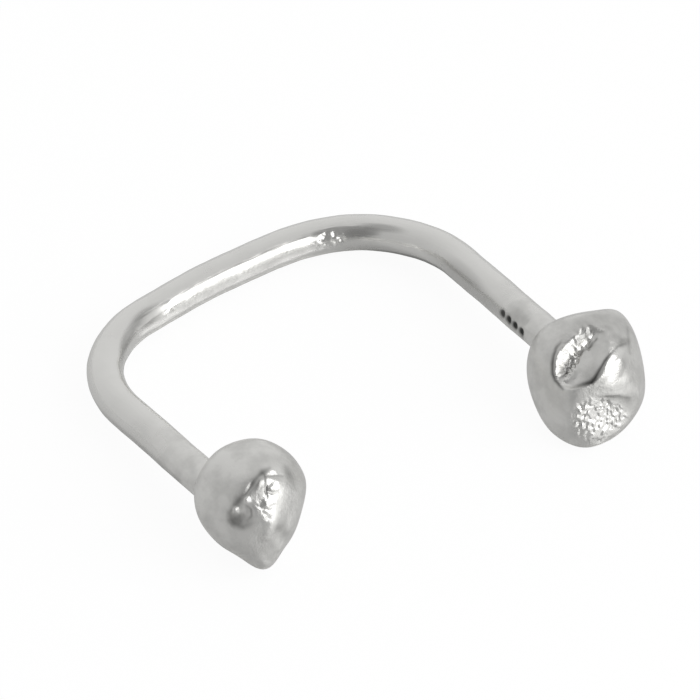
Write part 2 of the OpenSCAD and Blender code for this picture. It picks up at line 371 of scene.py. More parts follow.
def aim(turn, tilt):
    """Unit vectors from turns and tilts in degrees, as the onlooker sees them.

    sin(tilt) times (cos(turn) to the right and sin(turn) up), and cos(tilt) towards the onlooker."""
    turn = np.radians(np.asarray(turn, float))
    tilt = np.radians(np.asarray(tilt, float))
    return np.stack([np.sin(tilt) * np.cos(turn), np.sin(tilt) * np.sin(turn), np.cos(tilt)], axis=-1)


def faces_distance(dirs, faces):
    """The nearest face along each direction, with rounded edges.

    A face at distance h with normal n is met at h / (d . n). The sum over the faces of (d . n / h)
    to the power p, to the power -1/p, is nearly the smallest of these, and p sets how crisp the
    edges are."""
    facing = np.maximum(0.0, dirs @ aim(faces[:, 0], faces[:, 1]).T) / faces[:, 2]
    return (facing ** EDGE_CRISPNESS).sum(axis=-1) ** (-1 / EDGE_CRISPNESS)


def hollow_distance(dirs, hollow):
    """Distance along each direction to the near side of the egg that presses a hollow.

    The egg's half axes scale the direction and the egg's middle, and then the nearer root of the
    quadratic for a unit ball is taken. Directions that miss the egg get a large number."""
    deep = aim(hollow[3], hollow[4])
    half_length, half_width, half_depth = hollow[5:8]
    lean = np.radians(hollow[8])
    level = np.array([np.cos(lean), np.sin(lean), 0.0])
    along = level - (level @ deep) * deep
    along /= np.linalg.norm(along)
    axes = np.stack([along / half_length, np.cross(deep, along) / half_width, deep / half_depth])
    ray = dirs @ axes.T
    middle = axes @ (hollow[:3] + half_depth * deep)
    a = (ray * ray).sum(axis=-1)
    b = ray @ middle
    rest = b * b - a * (middle @ middle - 1)
    hit = (b > 0) & (rest > 0)
    return np.where(hit, (b - np.sqrt(np.maximum(rest, 0.0))) / a, MISS)


def floor_distance(dirs, floors):
    """Distance to the farthest of a hollow's flats: the sum of (h / (d . n))^p, to the power 1/p."""
    facing = np.maximum(dirs @ aim(floors[:, 1], floors[:, 2]).T, GRAZING)
    return ((floors[:, 3] / facing) ** VALLEY_CRISPNESS).sum(axis=-1) ** (1 / VALLEY_CRISPNESS)


def swelling_height(dirs, swelling, faced):
    """A bell: the height times exp(-(distance from the swelling's middle / width) squared)."""
    turn, tilt, height, width = swelling
    off = np.linalg.norm(dirs - aim(turn, tilt), axis=-1) * faced
    return height * np.exp(-(off / width) ** 2)


def form_distance(dirs, nugget):
    """Distance to a nugget's main form: its faces plus its swellings, cut back by its hollows.

    Each cut is the smaller of two distances with a rounded rim: (a^-p + b^-p)^(-1/p)."""
    faced = faces_distance(dirs, nugget["faces"])
    swollen = faced + sum(swelling_height(dirs, row, faced) for row in nugget["swellings"])
    for number, row in enumerate(nugget["hollows"]):
        crisp = row[9]
        pressed = hollow_distance(dirs, row)
        floors = nugget["floors"][nugget["floors"][:, 0] == number]
        if len(floors):
            pressed = np.maximum(pressed, floor_distance(dirs, floors))
        swollen = (swollen ** -crisp + pressed ** -crisp) ** (-1 / crisp)
    return swollen


# %% [markdown]
# The small relief lies on that form. Folds are where the skin of the melt wrinkled as it froze, and
# they are darker along their lines, with tarnish and painted shade. Bumps are drops that never sank
# in, and pits where they have a height below 0. The hammered patches are the lively ones: hundreds of
# small dents that each throw back a different part of the studio. A bump in the material would only
# bend the light, so these are in the mesh, and only the finest grain is not. Stains and shade are
# darker or lighter spots that leave the shape be: mostly painted shade that dims parts of the
# highlights and darkens the lower sides, and lighter spots that let glints show through it.

# %% Describe the small relief of the nuggets
# Each fold is a line of points: across, rise, width on its left and on its right, depth, darkening
# The darkening is tarnish and painted shade along the fold
LEFT_FOLDS = [
    np.array([
        (0.94, 1.75, 0.06, 0.08, 0.01, 0.24), (0.62, 1.54, 0.08, 0.15, 0.03, 0.62),
        (0.40, 1.34, 0.05, 0.10, 0.04, 0.42), (0.19, 1.05, 0.07, 0.14, 0.05, 0.60),
        (0.00, 0.76, 0.06, 0.10, 0.06, 0.42), (-0.17, 0.49, 0.07, 0.15, 0.06, 0.50),
        (-0.43, 0.27, 0.07, 0.20, 0.05, 0.58), (-0.70, -0.03, 0.07, 0.12, 0.05, 0.40),
        (-0.90, -0.30, 0.07, 0.13, 0.05, 0.42), (-0.88, -0.62, 0.07, 0.15, 0.05, 0.36),
        (-0.70, -0.86, 0.07, 0.15, 0.04, 0.36), (-0.30, -1.00, 0.08, 0.13, 0.03, 0.38),
        (0.10, -0.85, 0.08, 0.10, 0.01, 0.18),
    ]),
    np.array([(1.70, 1.78, 0.10, 0.10, 0.00, 0.22), (1.95, 1.20, 0.12, 0.12, 0.00, 0.34),
              (2.10, 0.76, 0.10, 0.10, 0.00, 0.20)]),
    np.array([(1.35, -1.10, 0.16, 0.16, 0.01, 0.16), (1.75, -1.35, 0.16, 0.16, 0.01, 0.20)]),
    np.array([(0.72, 1.45, 0.04, 0.04, 0.05, 0.40), (0.80, 1.05, 0.05, 0.04, 0.06, 0.50),
              (0.78, 0.70, 0.05, 0.05, 0.05, 0.40), (0.85, 0.35, 0.04, 0.04, 0.03, 0.25)]),
    np.array([(0.85, 0.68, 0.05, 0.05, 0.04, 0.30), (1.12, 0.60, 0.06, 0.06, 0.05, 0.38),
              (1.40, 0.64, 0.05, 0.05, 0.03, 0.25)]),
    np.array([(0.30, 0.02, 0.06, 0.06, 0.02, 0.20), (0.62, -0.10, 0.06, 0.06, 0.02, 0.16),
              (0.95, -0.22, 0.05, 0.05, 0.03, 0.20), (1.15, -0.12, 0.04, 0.04, 0.02, 0.15)]),
    np.array([(-0.12, 0.02, 0.05, 0.05, 0.02, 0.25), (0.10, -0.18, 0.06, 0.06, 0.03, 0.50),
              (0.12, -0.48, 0.06, 0.06, 0.03, 0.45), (-0.06, -0.72, 0.06, 0.06, 0.01, 0.20)]),
    np.array([(0.80, 1.40, 0.04, 0.04, 0.02, 0.30), (1.18, 1.42, 0.04, 0.04, 0.02, 0.28),
              (1.58, 1.38, 0.04, 0.04, 0.02, 0.20)]),
]
RIGHT_FOLDS = [
    np.array([
        (-1.38, 1.66, 0.04, 0.04, 0.01, 0.30), (-1.61, 1.38, 0.05, 0.05, 0.02, 0.50),
        (-1.75, 0.98, 0.05, 0.05, 0.02, 0.65), (-1.80, 0.58, 0.06, 0.06, 0.02, 0.70),
        (-1.79, 0.17, 0.06, 0.06, 0.02, 0.70), (-1.67, -0.15, 0.05, 0.05, 0.02, 0.65),
        (-1.47, -0.39, 0.05, 0.05, 0.02, 0.60), (-1.29, -0.59, 0.04, 0.04, 0.01, 0.45),
    ]),
    np.array([
        (-0.90, -0.50, 0.05, 0.05, 0.01, 0.20), (-0.58, -0.44, 0.06, 0.06, 0.02, 0.50),
        (-0.26, -0.35, 0.07, 0.08, 0.03, 0.70), (0.06, -0.27, 0.09, 0.09, 0.04, 0.85),
        (0.23, -0.10, 0.09, 0.08, 0.04, 0.85), (0.42, 0.26, 0.06, 0.05, 0.03, 0.80),
        (0.65, 0.67, 0.05, 0.04, 0.03, 0.75), (0.96, 1.10, 0.05, 0.05, 0.02, 0.60),
        (1.35, 1.46, 0.04, 0.04, 0.01, 0.35), (1.75, 1.62, 0.04, 0.04, 0.01, 0.20),
    ]),
    np.array([
        (0.35, -0.97, 0.05, 0.05, 0.01, 0.20), (0.85, -0.96, 0.06, 0.06, 0.02, 0.50),
        (1.40, -0.95, 0.07, 0.07, 0.02, 0.45), (1.90, -1.03, 0.06, 0.06, 0.01, 0.25),
    ]),
    np.array([(1.87, 2.34, 0.06, 0.06, 0.01, 0.15), (1.92, 1.60, 0.06, 0.06, 0.01, 0.30),
              (1.97, 1.14, 0.06, 0.06, 0.01, 0.20)]),
    np.array([
        (-1.40, -0.32, 0.04, 0.04, 0.01, 0.20), (-1.15, 0.20, 0.05, 0.05, 0.02, 0.35),
        (-0.98, 0.50, 0.05, 0.05, 0.02, 0.30), (-0.79, 0.83, 0.06, 0.06, 0.03, 0.55),
        (-0.60, 1.02, 0.05, 0.05, 0.02, 0.20), (-0.38, 1.24, 0.06, 0.06, 0.03, 0.50),
        (-0.15, 1.38, 0.05, 0.05, 0.02, 0.25), (0.03, 1.51, 0.06, 0.06, 0.03, 0.45),
        (0.35, 1.85, 0.04, 0.04, 0.01, 0.25),
    ]),
]
# across, rise, half_length, half_width, lean, height
LEFT_BUMPS = np.array([
    (-0.40, 1.95, 0.80, 0.70, 60, 0.06), (0.50, 1.08, 0.36, 0.24, 80, 0.16),
    (0.60, 0.05, 0.50, 0.34, 60, 0.03), (1.30, 1.10, 0.38, 0.38, 90, 0.09),
    (1.08, 0.22, 0.38, 0.24, 70, 0.06), (1.06, -0.88, 0.50, 0.28, 62, 0.085),
    (0.52, 0.42, 0.34, 0.20, 82, -0.015), (1.15, 1.68, 0.16, 0.32, 90, 0.04),
    (-0.38, -0.42, 0.48, 0.42, 30, -0.20), (-0.20, -0.34, 0.20, 0.24, 20, 0.10),
    (-0.68, -0.20, 0.18, 0.20, 0, 0.19), (-0.15, 0.26, 0.16, 0.18, 0, 0.14),
])
RIGHT_BUMPS = np.array([
    (0.66, 0.68, 0.50, 0.36, 70, 0.11), (1.40, 0.72, 0.42, 0.36, 90, 0.14),
    (-1.05, 0.12, 0.45, 0.28, 55, 0.14),
])
# across, rise, half_length, half_width, lean, darkening, which is below 0 where a spot is
# lightened. Most spots are painted shade that dims parts of the highlights and reflections and
# darkens lower sides; those below 0 are painted lighter, so that glints show through the pit's
# painted shade
LEFT_STAINS_AND_SHADE = np.array([
    (-0.52, -0.64, 0.46, 0.27, 22, 0.34), (0.98, -2.10, 0.85, 0.42, -62, 0.31),
    (1.48, -1.15, 0.50, 0.32, 70, 0.10), (-0.57, -0.22, 0.16, 0.15, 0, -3.0),
    (-0.06, 0.25, 0.16, 0.15, 0, -1.5), (0.40, 0.28, 0.34, 0.16, 88, 0.16),
    (1.88, 0.85, 1.45, 0.30, 88, 0.12), (1.28, -1.55, 0.80, 0.30, 66, 0.12),
    (0.46, 1.02, 0.32, 0.10, 60, 0.26), (0.56, 0.60, 0.28, 0.14, 88, 0.46),
    (1.05, 2.15, 0.55, 0.30, -20, 0.10), (1.52, -0.62, 0.48, 0.28, 80, 0.12),
])
# The right nugget's painted shade and lightened spots, in the same columns
RIGHT_STAINS_AND_SHADE = np.array([
    (1.67, 1.66, 0.34, 0.22, 20, 0.28), (0.05, 0.10, 0.60, 0.40, 50, 0.20),
    (0.70, 2.70, 1.50, 0.50, 8, 0.22),
    (1.98, -0.45, 0.60, 0.36, 90, 0.19), (1.10, -0.42, 0.75, 0.26, 0, 0.20),
    (0.44, -0.70, 0.60, 0.32, 0, 0.27), (2.10, -1.20, 0.45, 0.50, 0, 0.31),
    (1.24, 1.70, 0.42, 0.42, 0, 0.28), (1.65, 2.55, 0.50, 0.50, 0, 0.12),
    (-1.08, 0.68, 0.30, 0.13, 62, 0.48), (-0.51, 1.82, 0.26, 0.13, 45, 0.40),
    (0.64, -0.18, 0.30, 0.16, 40, 0.34), (1.34, -1.14, 0.60, 0.18, 0, 0.14),
    (0.95, 2.15, 0.42, 0.30, -45, 0.16), (0.34, -3.05, 0.50, 0.16, 10, 0.26),
    (-0.12, 2.06, 0.34, 0.16, 50, 0.55), (2.15, 0.20, 0.60, 0.28, 90, 0.10),
    (1.48, 0.38, 0.46, 0.20, 90, 0.28), (-1.22, 0.30, 0.44, 0.20, 62, 0.60),
])
# across, rise, half_length, half_width, lean, count, size, depth
LEFT_HAMMERED = np.array([(0.92, 0.40, 1.30, 0.42, 78, 40, 0.12, 0.020)])
RIGHT_HAMMERED = np.array([
    (0.46, -2.13, 1.46, 1.06, -4, 640, 0.048, 0.030),
    (-1.12, 0.68, 0.95, 0.36, 62, 110, 0.060, 0.050),
    (-0.92, 0.42, 0.85, 0.20, 60, 60, 0.070, 0.050),
    (-1.28, 0.36, 0.45, 0.22, 60, 40, 0.055, 0.050),
    (-0.35, 1.75, 0.90, 0.42, 42, 90, 0.085, 0.050),
    (1.15, 0.40, 0.90, 0.40, 95, 24, 0.130, 0.014),
    (-0.42, -2.10, 0.42, 0.80, 0, 70, 0.055, 0.055),
])
print("folds:", len(LEFT_FOLDS), "and", len(RIGHT_FOLDS))
print("dents:", int(LEFT_HAMMERED[:, 5].sum()), "and", int(RIGHT_HAMMERED[:, 5].sum()))


# %% Work out the small relief
# From where on the onlooker's side the relief begins to show, and where it shows in full
RELIEF_FROM = 0.05
RELIEF_FULL = 0.30


def folded(x, y, fold):
    """Depth and darkening of one fold, with the values of its points blended along each stretch.

    Across it the depth is a bell, exp(-(off / width) squared), with a width for either side, and the
    darkening, tarnish and painted shade, is a bell as wide as both: exp(-2 (off / sum of the widths)
    squared)."""
    deep = np.zeros_like(x)
    dark = np.zeros_like(x)
    for start, end in zip(fold[:-1], fold[1:]):
        step = end[:2] - start[:2]
        t = np.clip(((x - start[0]) * step[0] + (y - start[1]) * step[1]) / (step @ step), 0.0, 1.0)
        off = np.hypot(x - start[0] - t * step[0], y - start[1] - t * step[1])
        to_left = (y - start[1]) * step[0] - (x - start[0]) * step[1] > 0
        values = start[2:, None] + t.ravel() * (end - start)[2:, None]
        left_width, right_width, depth, tarnish_and_shade = values.reshape(4, *x.shape)
        width = np.where(to_left, left_width, right_width)
        deep = np.maximum(deep, depth * np.exp(-(off / width) ** 2))
        both = left_width + right_width
        dark = np.maximum(dark, tarnish_and_shade * np.exp(-2 * (off / both) ** 2))
    return deep, dark


def relief(dirs, far, nugget, luck):
    """Height, darkening and polish of the small relief, on the side that the onlooker sees.

    Bumps are bells. Stains with painted shade, and polish, are flatter: exp(-d to the 4th). The
    darkening, tarnish and painted shade, is 1 less the product of what each fold and spot leaves
    undarkened."""
    x = dirs[..., 0] * far
    y = dirs[..., 1] * far
    front = ramp(dirs[..., 2], RELIEF_FROM, RELIEF_FULL)
    height = np.zeros_like(far)
    undarkened = np.ones_like(far)
    polish = np.zeros_like(far)
    # Each fold darkens the colour along its line: tarnish and painted shade
    for fold in nugget["folds"]:
        deep, dark = folded(x, y, fold)
        height = height - deep
        undarkened = undarkened * (1 - dark)
    for row in nugget["bumps"]:
        height = height + row[5] * np.exp(-oval(x, y, row))
    # Painted shade: spots that darken the colour, and lightened spots where glints show
    for row in nugget["stains_and_shade"]:
        undarkened = undarkened * (1 - row[5] * np.exp(-oval(x, y, row) ** 2))
    for patch in nugget["hammered"]:
        height = height - hammer(x, y, patch, luck)
        polish = np.maximum(polish, np.exp(-oval(x, y, patch) ** 2))
    return height * front, (1 - np.minimum(undarkened, 1)) * front, polish * front


left_nugget = {
    "faces": LEFT_FACES, "hollows": [], "floors": [], "swellings": LEFT_SWELLINGS,
    "folds": LEFT_FOLDS, "bumps": LEFT_BUMPS, "stains_and_shade": LEFT_STAINS_AND_SHADE, "hammered": LEFT_HAMMERED,
}
right_nugget = {
    "faces": RIGHT_FACES, "hollows": RIGHT_HOLLOWS, "floors": RIGHT_FLOORS,
    "swellings": RIGHT_SWELLINGS, "folds": RIGHT_FOLDS, "bumps": RIGHT_BUMPS,
    "stains_and_shade": RIGHT_STAINS_AND_SHADE, "hammered": RIGHT_HAMMERED,
}


# %% [markdown]
# The nugget and the wire have to become one skin. The rows of a nugget fan out from its tip, round
# to its shoulder, and then gather over the neck into the first row of the wire. Along every
# direction the skin lies where the lump or the leg reaches farther, with a small fillet between.

# %% Run the skin from a nugget's tip onto its leg
# The least part of a direction that points along the leg, and a guard against division by 0
LEG_SIDE = 0.2
TINY = 1e-9
NUGGET_SEED = 11


def unit(vectors):
    """Each vector divided by its length."""
    return vectors / np.linalg.norm(vectors, axis=-1, keepdims=True)


def shoulder_dirs(heading, to_leg):
    """Directions from the tip to the shoulder: sin(fall) along a spoke less cos(fall) to the leg."""
    fall = np.linspace(0, SHOULDER, SHOULDER_ROWS + 1)[1:, None, None]
    return np.sin(fall) * spokes(heading) - np.cos(fall) * to_leg


def neck_dirs(heading, to_leg, leg_end):
    """Directions from the shoulder to the leg's end: the two rounds, mixed in even shares."""
    share = np.linspace(0, 1, NECK_ROWS + 1)[1:, None, None]
    spoke = spokes(heading)
    shoulder = SHOULDER_R * (np.sin(SHOULDER) * spoke - np.cos(SHOULDER) * to_leg)
    return unit((1 - share) * shoulder + share * (leg_end + WIRE_R * spoke))


def leg_distance(dirs, to_leg, leg_end):
    """Distance from the nugget's middle to the skin of its leg, a round bar, or 0 on the far side.

    The bar's axis passes the middle at a small distance aside, so this is the far root of the
    quadratic |aside + t off| = wire radius, where off is the part of d across the bar."""
    off = dirs - (dirs @ to_leg)[..., None] * to_leg
    aside = (leg_end @ to_leg) * to_leg - leg_end
    a = (off * off).sum(axis=-1)
    b = off @ aside
    c = aside @ aside - WIRE_R ** 2
    far = (np.sqrt(np.maximum(b * b - a * c, 0.0)) - b) / np.maximum(a, TINY)
    return np.where(dirs @ to_leg > LEG_SIDE, far, 0.0)


def nugget_rows(nugget, heading, to_leg, spot, leg_point, luck):
    """Rows of points from a nugget's tip to the end of its leg, its tip and middle, and the finish.

    The nugget is first set at the height at which it just touches the surface. Lump and leg are
    merged as (lump^p + leg^p)^(1/p), which leaves a small fillet at the neck."""
    shoulder = shoulder_dirs(heading, to_leg)
    low = (shoulder[..., 2] * form_distance(seen(shoulder), nugget)).min()
    middle = np.array([spot[0], spot[1], -low])
    leg_end = leg_point - middle
    dirs = np.concatenate([shoulder, neck_dirs(heading, to_leg, leg_end)])
    form = form_distance(seen(dirs), nugget)
    height, tarnish_and_shade, polish = relief(seen(dirs), form, nugget, luck)
    lump = (form + height) ** NECK_CRISPNESS
    bar = leg_distance(dirs, to_leg, leg_end) ** NECK_CRISPNESS
    rows = middle + dirs * ((lump + bar) ** (1 / NECK_CRISPNESS))[..., None]
    tip = middle - to_leg * form_distance(seen(-to_leg), nugget)
    return rows, tip, middle, {"tarnish_and_shade": tarnish_and_shade, "polish": polish, "cast": lump / (lump + bar)}


luck = np.random.default_rng(NUGGET_SEED)
left_to_leg = slant(way(LEG_LEFT_HEADING))
right_to_leg = slant(-way(LEG_RIGHT_HEADING))
left_spot = lie(leg_left_end) - LEFT_REACH * left_to_leg + np.array([LEFT_INSET, 0.0, 0.0])
right_spot = lie(leg_right_end) - RIGHT_REACH * right_to_leg
left_rows, left_tip, left_middle, left_finish = nugget_rows(
    left_nugget, LEG_LEFT_HEADING, left_to_leg, left_spot, lie(leg_left_end), luck)
right_rows, right_tip, right_middle, right_finish = nugget_rows(
    right_nugget, LEG_RIGHT_HEADING, right_to_leg, right_spot, lie(leg_right_end), luck)

rows = np.concatenate([left_rows, band_rows, right_rows[::-1]])
points = np.concatenate([left_tip[None], rows.reshape(-1, 3), right_tip[None]])
ring_middle = (points.min(axis=0) + points.max(axis=0)) / 2 * np.array([1, 1, 0])
points -= ring_middle
print("rows:", len(rows), "box:", points.min(axis=0).round(3), points.max(axis=0).round(3))
print("nugget middles:", (left_middle - ring_middle).round(3), (right_middle - ring_middle).round(3))


# %% Join the rows into one closed skin
def skin_faces(row_total, around):
    """Quads between rows and a fan of triangles at each tip, with their corners anticlockwise."""
    row, step = np.meshgrid(np.arange(row_total - 1), np.arange(around), indexing="ij")
    a = 1 + row * around + step
    b = 1 + row * around + (step + 1) % around
    quads = np.stack([a, b, b + around, a + around], axis=-1).reshape(-1, 4)
    step = np.arange(around)
    last = 1 + row_total * around
    first_fan = np.stack([np.zeros_like(step), 1 + (step + 1) % around, 1 + step], axis=-1)
    last_fan = np.stack([
        np.full_like(step, last), last - around + step, last - around + (step + 1) % around], axis=-1)
    return quads.tolist() + first_fan.tolist() + last_fan.tolist()


mesh = bpy.data.meshes.new("silver_ring")
mesh.from_pydata((points * MM).tolist(), [], skin_faces(len(rows), AROUND))
mesh.polygons.foreach_set("use_smooth", np.ones(len(mesh.polygons), bool))
mesh.update()
ring = bpy.data.objects.new("silver_ring", mesh)
bpy.context.scene.collection.objects.link(ring)
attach(ring, "root")
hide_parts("ring")
print("faces:", len(mesh.polygons), "triangles:", sum(len(p.vertices) - 2 for p in mesh.polygons))

# %% [markdown]
# The finish follows the surface, so three numbers are kept at every point of the mesh: how dark it
# is with tarnish and painted shade, how polished it is, and how far it is matt as a cast nugget and
# not satin as drawn wire. The material reads them as attributes. Each leg is duller towards its
# nugget, where the torch that melted the end also heated the wire, and wear has made a stretch of the
# back matt too. Painted shade also darkens the wire's undersides, its right neck and the places where
# it shows the dim parts of the studio.

# %% Store the finish at every point
HEATED = 5.0
NECK_MATT = 0.8
DOT_TARNISH = 0.93
# Painted shade on the wire: darker spots on the undersides of the bends and legs and at the right
# neck, and painted reflections of the dim parts of the studio at the ends and along the upper edge
# of the long highlight. Columns: distance along the path, distance round the wire, half_length,
# half_width, lean, darkening
BAND_PAINTED_SHADE = np.array([
    (13.4, 2.22, 1.2, 0.42, 0, 0.60), (34.5, 2.70, 3.4, 0.50, 0, 0.27),
    (28.6, 3.20, 3.0, 0.30, 0, 0.20), (38.2, 2.07, 0.9, 0.28, 0, 0.16),
    (19.2, 2.08, 4.8, 0.055, 0, 0.40), (33.6, 2.20, 1.6, 0.32, 0, 0.17),
    (3.4, 5.43, 5.0, 0.30, 0, 0.28), (11.3, 2.27, 1.9, 0.27, -5.4, 0.43), (26.3, 2.30, 0.9, 0.26, 0, 0.34),
    (27.6, 1.93, 1.2, 0.20, 0, 0.36), (29.6, 3.38, 3.6, 0.25, -3, 0.56),
    (39.1, 2.80, 0.55, 0.34, 0, 0.38),
])
# Where wear has made the wire as matt as the nuggets, in the same columns but the last: how matt
WORN = np.array([(19.4, 2.68, 5.8, 0.30, 0, 1.0)])


def band_spot(row):
    """1 in a spot of the wire and 0 outside it: exp(-d to the 4th), with d the short way round."""
    half_round = np.pi * WIRE_R
    aside = (band_round - row[1] + half_round) % (2 * half_round) - half_round
    return np.exp(-oval(band_along, aside, (row[0], 0.0, *row[2:5])) ** 2)


tip_distance = np.minimum(path_lengths, path_lengths[-1] - path_lengths)
heated = NECK_MATT * (1 - ramp(tip_distance, 0.0, HEATED))
undarkened = 1 - DOT_TARNISH * band_dots
# Painted shade: each spot darkens the wire's colour
for row in BAND_PAINTED_SHADE:
    undarkened *= 1 - row[5] * band_spot(row)
matt = np.repeat(heated[:, None], AROUND, axis=1)
for row in WORN:
    matt = np.maximum(matt, row[5] * band_spot(row))
band_finish = {"tarnish_and_shade": 1 - undarkened, "polish": np.zeros_like(band_dots), "cast": matt}
for name in ("tarnish_and_shade", "polish", "cast"):
    left_part = left_finish[name]
    right_part = right_finish[name][::-1]
    if name == "cast":
        left_part = NECK_MATT + (1 - NECK_MATT) * left_part
        right_part = NECK_MATT + (1 - NECK_MATT) * right_part
    stacked = np.concatenate([left_part, band_finish[name], right_part])
    values = np.concatenate([[stacked[0].mean()], stacked.ravel(), [stacked[-1].mean()]])
    layer = mesh.attributes.new(name, "FLOAT", "POINT")
    layer.data.foreach_set("value", values.astype(np.float32))
    print(name, "from", values.min().round(2), "to", values.max().round(2))

# %% Store where each point lies in the grain of the wire
# Drawn wire has its grain along it, so the path's length is squeezed
ALONG_GRAIN = 0.10


def wire_place(lengths, spin):
    """Squeezed length along the path, then cos and sin of the spin times the wire's radius."""
    along = np.broadcast_to(ALONG_GRAIN * lengths, spin.shape)
    return np.stack([along, WIRE_R * np.cos(spin), WIRE_R * np.sin(spin)], axis=-1)


left_spins = np.repeat(spins(LEG_LEFT_HEADING), len(left_rows), axis=0)
right_spins = np.repeat(spins(LEG_RIGHT_HEADING), len(right_rows), axis=0)
wire_rows = np.concatenate([
    wire_place(0.0, left_spins), wire_place(path_lengths[:, None], band_spins),
    wire_place(path_lengths[-1], right_spins)])
wire_grain = np.concatenate([wire_rows[0, :1], wire_rows.reshape(-1, 3), wire_rows[-1, :1]])
layer = mesh.attributes.new("wire", "FLOAT_VECTOR", "POINT")
layer.data.foreach_set("vector", wire_grain.astype(np.float32).ravel())
print("places in the grain:", wire_grain.shape)

# %% [markdown]
# Satin silver is a bright metal with a fine grain. One Principled BSDF carries it all: the base
# colour goes from clean silver through the duller cast skin to the dark of tarnish and painted shade,
# and the roughness follows the same numbers. Two sizes of noise through a Bump node give the grain
# that breaks up the edges of the highlights: even on the nuggets, and drawn out along the wire. A
# painted texture could hold the grain too, but noise has no seam and stays sharp from close by.


# %% Write helpers that build node trees
# Which inputs of a Mix node are A and B, and which output is its result, for each kind of value
MIX_SOCKETS = {"FLOAT": (2, 3, 0), "RGBA": (6, 7, 2)}


def feed(tree, socket, value):
    """Link a socket to the output of another node, or set it to a plain value."""
    if isinstance(value, bpy.types.NodeSocket):
        tree.links.new(value, socket)
    else:
        socket.default_value = value


def add(tree, kind, settings=None, **inputs):
    """A new node of this kind, with its settings, and with its inputs fed by name."""
    node = tree.nodes.new(kind)
    for name, value in (settings or {}).items():
        setattr(node, name, value)
    for name, value in inputs.items():
        feed(tree, node.inputs[name.replace("_", " ")], value)
    return node


def work(tree, kind, settings, *values):
    """The first output of a new node of this kind, with its inputs fed in order."""
    node = add(tree, kind, settings)
    for socket, value in zip(node.inputs, values):
        feed(tree, socket, value)
    return node.outputs[0]


def reckon(tree, operation, *values, clamped=False):
    """The result of a Math node, kept between 0 and 1 where it is clamped."""
    return work(tree, "ShaderNodeMath", {"operation": operation, "use_clamp": clamped}, *values)


def spread(tree, value, start, end, low=0.0, high=1.0, steps="LINEAR"):
    """The result of a Map Range node: low up to where the value starts, and high from its end on."""
    settings = {"interpolation_type": steps}
    return work(tree, "ShaderNodeMapRange", settings, value, start, end, low, high)


def mix(tree, kind, share, first, second):
    """The result of a Mix node: the first where the share is 0, and the second where it is 1."""
    node = add(tree, "ShaderNodeMix", {"data_type": kind})
    to_first, to_second, result = MIX_SOCKETS[kind]
    feed(tree, node.inputs[0], share)
    feed(tree, node.inputs[to_first], first)
    feed(tree, node.inputs[to_second], second)
    return node.outputs[result]


def noise(tree, where, scale, detail, roughness):
    """Smooth noise from 0 to 1 at these places, with about this scale's number of cells to a unit."""
    node = add(
        tree, "ShaderNodeTexNoise", Vector=where, Scale=scale, Detail=detail, Roughness=roughness)
    return node.outputs["Fac"]


def stored(tree, name, part="Fac"):
    """What the mesh stores at each point under this name."""
    return add(tree, "ShaderNodeAttribute", {"attribute_name": name}).outputs[part]


# %% Finish: satin silver
CLEAN_SILVER = (0.915, 0.910, 0.885, 1.0)
CAST_SILVER = (0.880, 0.875, 0.850, 1.0)
TARNISH_AND_SHADE_COLOUR = (0.055, 0.055, 0.052, 1.0)
WIRE_ROUGHNESS = 0.19
CAST_ROUGHNESS = 0.38
POLISHED_ROUGHNESS = 0.18
DARKENED_ROUGHNESS = 0.45
silver = bpy.data.materials.new("satin_silver")
silver.use_nodes = True
tree = silver.node_tree
shader = tree.nodes["Principled BSDF"]
shader.inputs["Metallic"].default_value = 1.0
place = add(tree, "ShaderNodeTexCoord").outputs["Object"]
# How dark each point is with tarnish and with painted shade
tarnish_and_shade = stored(tree, "tarnish_and_shade")
polish = stored(tree, "polish")
cast = stored(tree, "cast")

# Clouds of duller and brighter metal, about a millimetre across. They make the skin up to 0.45 more
# or less matt, and they tarnish what is cast by up to 0.16
CLOUD_SCALE = 900.0
clouds = noise(tree, place, CLOUD_SCALE, detail=3.0, roughness=0.55)
cloud_share = spread(tree, clouds, 0.30, 0.70, low=-0.45, high=0.45)
cloud_stain = spread(tree, clouds, 0.42, 0.66, low=0.0, high=0.16)
cast_share = reckon(tree, "ADD", cast, cloud_share, clamped=True)
cast_stain = reckon(tree, "MULTIPLY", cloud_stain, cast)
all_darkening = reckon(tree, "ADD", cast_stain, tarnish_and_shade, clamped=True)
metal = mix(tree, "RGBA", cast_share, CLEAN_SILVER, CAST_SILVER)
# Tarnish and painted shade pull the colour towards the dark colour
colour = mix(tree, "RGBA", all_darkening, metal, TARNISH_AND_SHADE_COLOUR)
feed(tree, shader.inputs["Base Color"], colour)

# Roughness: satin wire, duller cast skin, bright hammered patches, dull tarnish and painted shade
from_cast = spread(tree, cast_share, 0.0, 1.0, WIRE_ROUGHNESS, CAST_ROUGHNESS)
from_polish = mix(tree, "FLOAT", polish, from_cast, POLISHED_ROUGHNESS)
from_darkening = mix(tree, "FLOAT", tarnish_and_shade, from_polish, DARKENED_ROUGHNESS)
feed(tree, shader.inputs["Roughness"], from_darkening)
print("colour and roughness nodes:", len(tree.nodes))

